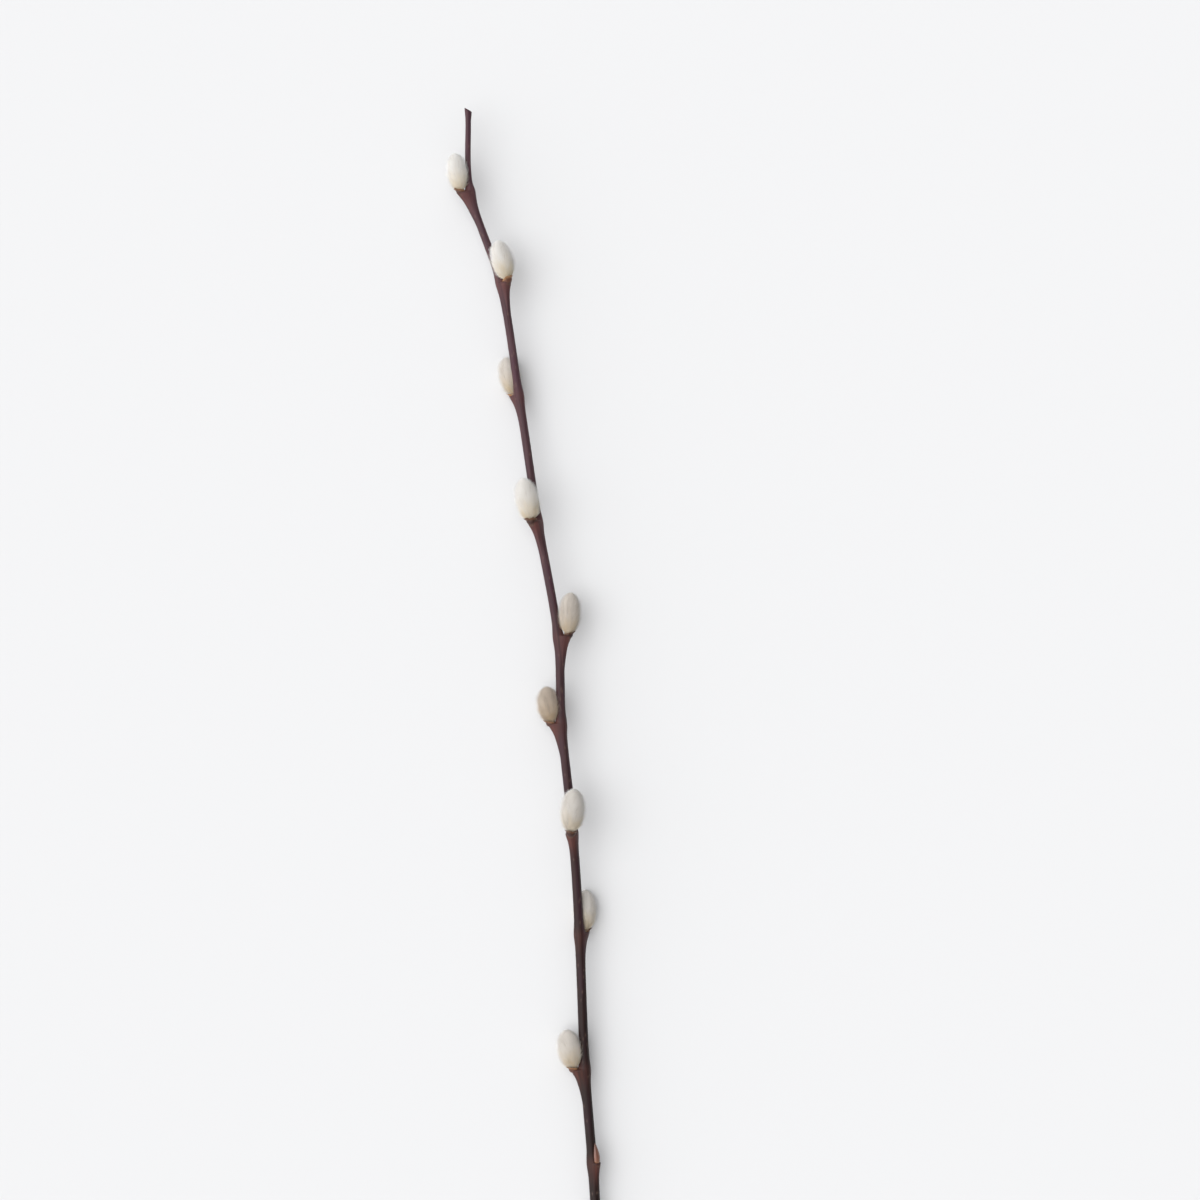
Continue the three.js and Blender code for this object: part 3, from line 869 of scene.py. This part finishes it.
def press_round(points, node, foot=None):
    """Lays points round the stem and over the table; a foot, as a span of heights, may grow into it."""
    station, offset = stem_place(points, node)
    _, _, right, up = stem_frame(station)
    turn = np.arctan2(np.sum(offset * up, axis=-1), np.sum(offset * right, axis=-1))
    reach = np.linalg.norm(offset, axis=-1)
    short = np.maximum(0.0, stem_radius(station, turn) + STEM_CLEARANCE - reach)
    if foot:
        short = short * smoothstep(station - node["station"], *foot)
    points = points + offset / np.maximum(reach, TINY)[..., None] * short[..., None]
    points[..., 2] = np.maximum(points[..., 2], FLOOR_CLEARANCE)
    return points


# Catkins

def core_radius(share, width):
    """The soft core's radius at a share of its length: as the fur's envelope, with a flat base."""
    return CORE_SHARE * catkin_radius(np.maximum(share, CORE_BASE), width - FUR_MARGIN)


def skin_normals(points, length, width):
    """The way out of a catkin's envelope, in its own frame."""
    share = np.clip(points[..., 2] / length, *SKIN_SPAN)
    rise = catkin_radius(share + SKIN_STEP, width) - catkin_radius(share - SKIN_STEP, width)
    angle = np.arctan2(points[..., 1], points[..., 0])
    return unit(polar(1.0, angle, -rise / (2 * SKIN_STEP * length)))


def floret_places(width):
    """Florets spread evenly over the catkin in one spiral, as shares of its length and angles."""
    share = np.linspace(*FLORET_SPAN, FLORET_SAMPLES)
    weight = np.cumsum(catkin_radius(share, width) + FLORET_CROWDING * width)
    spread = (np.arange(FLORETS) + 0.5) / FLORETS * weight[-1]
    return np.interp(spread, weight, share), np.arange(FLORETS) * GOLDEN_ANGLE


def on_map(area, across, along):
    """Places in an area of the fur's own map, from two shares."""
    (left, width), (low, height) = area
    return np.stack([left + width * across, low + height * along], axis=-1)


def per_hair(values):
    return np.repeat(values, HAIRS_PER_FLORET)


def tip_shares(root_share, length, rng):
    """How far up the catkin each hair's tip comes, as a share of its length."""
    count = len(root_share)
    reach = HAIR_REACH[0] + (HAIR_REACH[1] - HAIR_REACH[0]) * np.sin(np.pi * root_share)
    share = CORE_LENGTH * root_share + reach * rng.uniform(*REACH_VARIETY, count) / length
    return np.minimum(share, 1.0 - np.abs(rng.normal(0.0, TIP_DIP, count)))


def tip_radii(share, width, tuft_proud, rng):
    """How far from the catkin's axis each hair's tip lies: near the envelope, or proud of it."""
    count = len(share)
    proud = tuft_proud + np.minimum(rng.exponential(HAIR_PROUD[0], count), HAIR_PROUD[1]) - HAIR_TUCK
    proud = proud + (rng.random(count) < WISP_SHARE) * rng.uniform(*WISP_PROUD, count)
    proud = proud * np.clip((PROUD_FADE[1] - share) / (PROUD_FADE[1] - PROUD_FADE[0]), 0.0, 1.0)
    radius = catkin_radius(np.minimum(share, TIP_LAST_SHARE), width) + proud
    return radius * (1 - smoothstep(share, *TIP_CLOSING) * (1 - np.sqrt(rng.random(count))))


def hair_lines(node, rng):
    """The root and tip of each of a catkin's hairs, in its own frame, and how far up each root is."""
    length, width = node["catkin"]
    fur_width = width - FUR_MARGIN
    share, angle = map(per_hair, floret_places(fur_width))
    tuft_turn = per_hair(rng.normal(0.0, TUFT_TURN, FLORETS))
    tuft_proud = per_hair(rng.normal(0.0, TUFT_PROUD, FLORETS))
    count = len(share)
    root_share = np.clip(share + rng.normal(0.0, ROOT_SPREAD, count) / length, *ROOT_SPAN)
    core = core_radius(root_share, width)
    aside = rng.normal(0.0, ROOT_SPREAD, count) / np.maximum(core, ROOT_RADIUS)
    tip_share = tip_shares(root_share, length, rng)
    tip_radius = tip_radii(tip_share, fur_width, tuft_proud, rng)
    stray = rng.normal(0.0, TIP_SPREAD, count) / np.maximum(tip_radius, STRAY_RADIUS)
    tip_angle = angle + tuft_turn + (1 - TUFT_GATHER) * aside + stray
    root = polar(core, angle + aside, CORE_LENGTH * length * root_share)
    tip = polar(np.maximum(tip_radius, TIP_LEAST_RADIUS), tip_angle, tip_share * length)
    return np.stack([root, tip], axis=1), root_share


def lay_hairs(lines, node):
    """Shortens the hairs that would run through the stem or the table, and lays the rest over them."""
    moved = np.linalg.norm(press_round(lines, node) - lines, axis=-1)[:, 1]
    kept = np.where(moved > BLOCKED_DEPTH, BLOCKED_LENGTH, 1.0)[:, None]
    lines = np.stack([lines[:, 0], lines[:, 0] + kept * (lines[:, 1] - lines[:, 0])], axis=1)
    return press_round(lines, node)


def grey_patches(places, rng):
    """The share of grey hairs at each place: soft streaks that run along the catkin."""
    waves = rng.normal(0.0, PATCH_RATES, (PATCH_WAVES, 3))
    phases = rng.uniform(0.0, 2 * np.pi, PATCH_WAVES)
    return smoothstep(np.mean(np.sin(places @ waves.T + phases), axis=1), *PATCH_EDGE)


def hair_tones(root_share, patches, rng):
    """Each hair's tone: by its height among the white tones, or in a patch a random grey."""
    count = len(root_share)
    tuft_tone = per_hair(rng.normal(0.0, TUFT_TONE, FLORETS))
    white = WHITE_TONES * np.clip(root_share + tuft_tone + rng.normal(0.0, HAIR_TONE, count), 0.0, 1.0)
    grey = WHITE_TONES + (1 - WHITE_TONES) * rng.random(count)
    return np.where(rng.random(count) < patches, grey, white)


def hair_mesh(lines, outward, root_share, patches, painted_shade, rng):
    """Three-sided hairs that taper to a point: points, faces, marks, map places and normals."""
    count = len(lines)
    flow = unit(lines[:, 1] - lines[:, 0])
    side = unit(np.cross(flow, rng.normal(size=(count, 3))))
    corner = even_turns(3)[:, None]
    spread = side[:, None] * np.cos(corner) + np.cross(flow, side)[:, None] * np.sin(corner)
    thick = HAIR_RADIUS * rng.uniform(*RADIUS_VARIETY, (count, 1, 1))
    points = np.concatenate([lines[:, :1] + spread * thick, lines[:, 1:]], axis=1).reshape(-1, 3)
    faces = (np.arange(count)[:, None, None] * 4 + np.array(HAIR_FACES)).reshape(-1, 3)
    tone = hair_tones(root_share, patches, rng)[:, None]
    along = np.array([0.0, 0.0, 0.0, 1.0])
    marks = np.stack(np.broadcast_arrays(tone, along, painted_shade), axis=-1).reshape(-1, 3)
    uv = on_map(FUR_MAP, *np.broadcast_arrays(tone, along)) + np.array(HAIR_MAP_CORNERS)
    own = np.concatenate([spread, np.zeros((count, 1, 3))], axis=1)
    normals = unit(HAIR_ROUNDNESS * own + (1 - HAIR_ROUNDNESS) * outward[:, [0, 0, 0, 1]])
    return points, [faces], marks, uv.reshape(-1, 2), normals.reshape(-1, 3)


def floret_mesh(node):
    """The scale of each floret, a thin pointed lens that lies against the core."""
    length, width = node["catkin"]
    share, angle = floret_places(width - FUR_MARGIN)
    share = LENS_SHARES[0] + (LENS_SHARES[1] - LENS_SHARES[0]) * share
    core = core_radius(share, width)
    half = LENS_HALF_WIDTH / np.maximum(core, LENS_RADIUS)
    inward, out, side, up, along = LENS_CORNERS.T
    reach = core[:, None] * inward + out
    points = polar(reach, angle[:, None] + half[:, None] * side, CORE_LENGTH * length * share[:, None] + up)
    points = points.reshape(-1, 3)
    faces = (np.arange(FLORETS)[:, None, None] * len(side) + np.array(LENS_FACES)).reshape(-1, 3)
    along = np.tile(along, FLORETS)
    lot = np.repeat(np.arange(FLORETS) / FLORETS, len(side))
    marks = np.stack([along, lot, 0 * lot], axis=-1)
    uv = on_map(SCALE_MAP, lot + SCALE_MAP_HALF * np.tile(side, FLORETS), along)
    return points, [faces], marks, uv, skin_normals(points, length, width)


def core_mesh(node, painted_shade):
    """The soft body under the fur."""
    length, width = node["catkin"]
    share = (np.arange(CORE_RINGS) + 0.5)[:, None] / CORE_RINGS
    angle = even_turns(CORE_SIDES)
    skin = polar(core_radius(share, width), angle[None, :], CORE_LENGTH * length * share).reshape(-1, 3)
    points = np.vstack([skin, [[0, 0, 0.0]], [[0, 0, CORE_LENGTH * length]]])
    tone = WHITE_TONES * np.clip(points[:, 2] / length, 0.0, 1.0)
    along = CORE_TINT[0] + CORE_TINT[1] * np.cos(np.append(np.tile(angle, CORE_RINGS), [0.0, 0.0]))
    marks = np.column_stack([tone, along, np.full(len(points), painted_shade)])
    normals = skin_normals(points, length, width)
    return points, closed_tube(CORE_RINGS, CORE_SIDES), marks, on_map(FUR_MAP, tone, along), normals


def stalk_mesh():
    """The short stalk that joins a catkin to its ledge."""
    rings = len(STALK_HEIGHTS)
    angle = even_turns(STALK_SIDES)
    heights, radii = (np.array(values)[:, None] for values in (STALK_HEIGHTS, STALK_RADII))
    skin = polar(radii, angle[None, :], heights).reshape(-1, 3)
    points = np.vstack([skin, [[0, 0, STALK_HEIGHTS[0]]], [[0, 0, STALK_HEIGHTS[-1]]]])
    lot = np.append(np.tile(angle / STALK_LOTS, rings), [0.5, 0.5])
    marks = np.column_stack([np.full(len(points), STALK_TINT), lot, np.zeros(len(points))])
    normals = unit(points * (1.0, 1.0, 0.0) + (0.0, 0.0, STALK_TILT))
    return points, closed_tube(rings, STALK_SIDES), marks, on_map(SCALE_MAP, lot, marks[:, 0]), normals


def joined(blocks, slots):
    """Blocks of points, faces, marks, map places and normals as one mesh."""
    faces, face_slots, first = [], [], 0
    for slot, (points, own, _, _, _) in zip(slots, blocks):
        faces += [face + first for face in own]
        face_slots += [slot] * len(own)
        first += len(points)
    points, marks, uv, normals = (np.vstack([block[part] for block in blocks]) for part in (0, 2, 3, 4))
    return points, faces, face_slots, marks, uv, normals


def make_catkin(number, node, painted_shade, materials):
    """One catkin: hairs and core of fur, and floret scales and a stalk of scale."""
    rng = np.random.default_rng(SEED + number)
    length, width = node["catkin"]
    lines, root_share = hair_lines(node, rng)
    # Catkins with more painted shade get more grey hairs in their patches
    patches = np.interp(painted_shade, (0.0, 1.0), GREY_SHARES) * grey_patches(lines[:, 1], rng)
    axes, _ = seat_matrix(node, CATKIN_SEAT)
    outward = skin_normals(lines, length, width) @ axes.T
    lines = lay_hairs(seated(lines, node, CATKIN_SEAT), node)
    blocks = [hair_mesh(lines, outward, root_share, patches, painted_shade, rng)]
    bodies = ((core_mesh(node, painted_shade), True), (floret_mesh(node), True), (stalk_mesh(), False))
    for (points, *rest, normals), pressed in bodies:
        points = seated(points, node, CATKIN_SEAT)
        blocks.append((press_flat(points, node) if pressed else points, *rest, normals @ axes.T))
    points, faces, slots, marks, uv, normals = joined(blocks, (0, 0, 1, 1))
    name = f"catkin_fur_{number:02d}"
    piece = make_piece(name, points, faces, materials, slots, {"fur": marks}, uv, normals)
    dress(piece, "fur", f"catkin_{number:02d}")


# Bud scales and closed buds

def husk_rim(angle, rng):
    """The torn upper edge of a bud scale: its height at each angle, and how it waves."""
    crown = np.cos(angle / HUSK_SPAN * np.pi / 2)
    phases = rng.uniform(0.0, 2 * np.pi, len(HUSK_WAVES))
    waves = sum(size * np.sin(rate * angle + phase) for (size, rate), phase in zip(HUSK_WAVES, phases))
    return HUSK_LOW + HUSK_RISE * crown * (1 + waves), waves


def sheet_faces(columns, rows):
    """A grid of points laid twice, inner then outer, closed round its border."""
    size = columns * rows
    column, row = np.meshgrid(np.arange(columns - 1), np.arange(rows - 1), indexing="ij")
    here = (column * rows + row).ravel()
    inner = np.stack([here, here + 1, here + rows + 1, here + rows], axis=-1)
    edge = np.concatenate([
        np.arange(columns) * rows,
        (columns - 1) * rows + np.arange(1, rows),
        np.arange(columns - 2, -1, -1) * rows + rows - 1,
        np.arange(rows - 2, 0, -1),
    ])
    after = np.roll(edge, -1)
    border = np.stack([edge, after, after + size, edge + size], axis=-1)
    return [inner, inner[:, ::-1] + size, border]


def make_scale(number, node, weathered, material):
    """The torn bud scale: a thin curved sheet round the outer side of the catkin's base."""
    length, width = node["catkin"]
    angle = np.linspace(-HUSK_SPAN, HUSK_SPAN, HUSK_COLUMNS)[:, None]
    rim, waves = husk_rim(angle, np.random.default_rng(HUSK_SEED + number))
    share = np.linspace(0.0, 1.0, HUSK_ROWS)[None, :]
    height = -HUSK_FOOT + (rim + HUSK_FOOT) * share
    middle = catkin_radius(np.maximum(height, HUSK_SEAT) / length, width - 2 * TUFT_HEIGHT) + HUSK_GAP
    middle = middle + HUSK_FLARE * share**2 * (1 + 2 * waves)
    middle = middle - HUSK_DRAW_IN * np.clip(-height / HUSK_FOOT, 0.0, 1.0)
    thick = HUSK_THICKNESS / 2 * (1 - HUSK_THINNING * share)
    sheets = [polar(middle + side * thick, angle, height).reshape(-1, 3) for side in (-1, 1)]
    points = seated(np.vstack(sheets), node, CATKIN_SEAT)
    points[:, 2] = np.maximum(points[:, 2], FLOOR_CLEARANCE)
    skin = np.stack(np.broadcast_arrays(share, angle), axis=-1).reshape(-1, 2)
    marks = np.vstack([np.column_stack([skin, np.full(len(skin), inside)]) for inside in (1.0, 0.0)])
    attributes = {"husk": marks, "weather": np.full((len(points), 3), weathered)}
    faces = sheet_faces(HUSK_COLUMNS, HUSK_ROWS)
    piece = make_piece(f"bud_husk_{number:02d}", points, faces, [material], attributes=attributes)
    dress(piece, "husk", f"bud_scale_{number:02d}")


def make_bud(number, node, material):
    """A closed bud under one cap-like scale, with a keel down each side, bent to the stem."""
    length, width, depth = BUD_SIZE
    share = (np.arange(BUD_RINGS) + 0.5)[:, None] / BUD_RINGS
    angle = even_turns(BUD_SIDES)[None, :]
    girth = (1 - share**BUD_TIP_POWER) ** BUD_FULLNESS
    girth = girth * (BUD_BASE_SHARE + (1 - BUD_BASE_SHARE) * smoothstep(share, 0.0, BUD_BASE_REACH))
    girth = girth * (1 + BUD_COLLAR["height"] * bell(share - BUD_COLLAR["at"], BUD_COLLAR["reach"]))
    keel = 1 + BUD_KEEL["height"] * bell(np.abs(np.sin(angle)) - 1, BUD_KEEL["reach"])
    points = np.stack(np.broadcast_arrays(
        depth / 2 * girth * np.cos(angle) - BUD_SHIFT - BUD_BEND * share**2,
        width / 2 * girth * keel * np.sin(angle),
        (length + BUD_FOOT) * share - BUD_FOOT,
    ), axis=-1).reshape(-1, 3)
    points = np.vstack([points, [[-BUD_SHIFT, 0, -BUD_FOOT]], [[-BUD_SHIFT - BUD_BEND, 0, length]]])
    points = press_round(seated(points, node, BUD_SEAT), node, foot=BUD_FOOT_FADE)
    skin = np.stack(np.broadcast_arrays(share, angle, 0.0), axis=-1).reshape(-1, 3)
    attributes = {"husk": np.vstack([skin, [[0, 0, 0]], [[1, 0, 0]]])}
    faces = closed_tube(BUD_RINGS, BUD_SIDES)
    piece = make_piece(f"closed_bud_{number:02d}", points, faces, [material], attributes=attributes)
    dress(piece, "bud", f"bud_{number:02d}")


# The whole twig

def make_twig():
    make_stem()
    fur = [fur_material(), floret_material()]
    husk, bud = husk_material(), bud_material()
    catkins = [node for node in NODES if node["catkin"]]
    for number, (node, painted_shade, weathered) in enumerate(zip(catkins, CATKIN_PAINTED_SHADES, SCALE_WEATHERS), 1):
        make_catkin(number, node, painted_shade, fur)
        make_scale(number, node, weathered, husk)
    for number, node in enumerate((node for node in NODES if not node["catkin"]), 1):
        make_bud(number, node, bud)


# The table, the light and the camera

def make_stage():
    mesh = bpy.data.meshes.new("table_top")
    corners = [(x * TABLE_HALF, y * TABLE_HALF, 0) for x, y in ((-1, -1), (1, -1), (1, 1), (-1, 1))]
    mesh.from_pydata(corners, [], [(0, 1, 2, 3)])
    s = Shader("table_top", base_color=TABLE_COLOUR, roughness=0.9, specular_ior_level=0.1)
    mesh.materials.append(s.material)
    place("table_top", mesh)


def make_world():
    """Pale walls, brighter on one side, under a darker ceiling."""
    world = bpy.data.worlds.new("studio")
    world.use_nodes = True
    nodes, links = world.node_tree.nodes, world.node_tree.links
    split = nodes.new("ShaderNodeSeparateXYZ")
    links.new(nodes.new("ShaderNodeTexCoord").outputs["Generated"], split.inputs[0])
    both = nodes.new("ShaderNodeMath")
    both.operation = "MULTIPLY"
    fades = (("Z", 0.0, WALL_LIGHT, CEILING_LIGHT), ("X", -1.0, 1.0 + SIDE_LIGHT, 1.0 - SIDE_LIGHT))
    for index, (axis, start, first, last) in enumerate(fades):
        fade = nodes.new("ShaderNodeMapRange")
        fade.inputs["From Min"].default_value = start
        fade.inputs["To Min"].default_value = first
        fade.inputs["To Max"].default_value = last
        links.new(split.outputs[axis], fade.inputs["Value"])
        links.new(fade.outputs["Result"], both.inputs[index])
    background = nodes["Background"]
    background.inputs["Color"].default_value = WALL_COLOUR
    links.new(both.outputs[0], background.inputs["Strength"])
    bpy.context.scene.world = world


def make_light():
    """A wide soft light, nearly overhead."""
    lamp = bpy.data.lights.new("soft_light", "SUN")
    lamp.energy = LAMP_STRENGTH
    lamp.angle = math.radians(LAMP_SPREAD)
    light = place("soft_light", lamp)
    light.rotation_mode = "QUATERNION"
    light.rotation_quaternion = (-Vector(LAMP_DIRECTION)).to_track_quat("-Z", "Y")


def make_camera():
    """A camera that looks straight down and frames FRAME_WIDTH at the twig's level."""
    data = bpy.data.cameras.new("camera")
    data.lens = LENS
    data.sensor_width = SENSOR
    camera = place("camera", data)
    camera.location = (*FRAME_CENTRE, FRAME_WIDTH * LENS / SENSOR + FRAME_LEVEL)
    scene = bpy.context.scene
    scene.camera = camera
    scene.view_settings.view_transform = "Standard"


make_twig()
make_stage()
make_world()
make_light()
make_camera()
